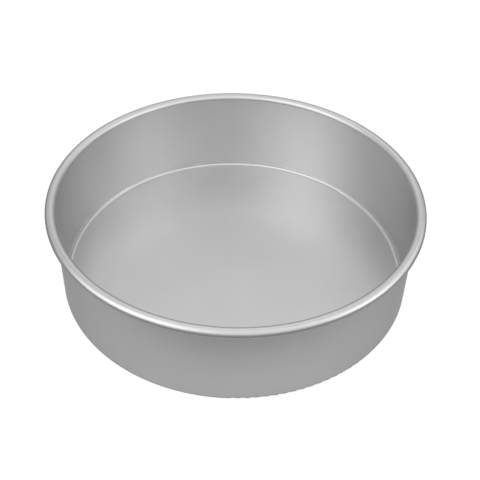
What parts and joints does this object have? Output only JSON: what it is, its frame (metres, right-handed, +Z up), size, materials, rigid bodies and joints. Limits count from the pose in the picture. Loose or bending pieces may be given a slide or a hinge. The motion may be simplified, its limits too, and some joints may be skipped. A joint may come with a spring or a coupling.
{
  "type": "round cake tin",
  "caption": "Round straight-sided cake tin with a wired, rolled rim and a loose base that lifts off an inward ledge at the foot of the wall.",
  "frame": {"origin": "centre of the foot, on the surface that the tin stands on", "axes": "+Z up along the tin's axis; the tin is round, so +X and +Y are free"},
  "size_m": [0.2152, 0.2152, 0.0562],
  "materials": {
    "side_wall": "satin anodised",
    "rim_wire": "drawn wire",
    "loose_base": "satin anodised"
  },
  "bodies": {
    "ring": {"side_wall": "side_wall", "rim_wire": "rim_wire"},
    "base": {"loose_base": "loose_base"}
  },
  "joints": [
    {"name": "base_lift", "type": "slide", "parent": "ring", "child": "base", "axis": [0, 0, 1], "range_m": [0, 0.09]}
  ]
}
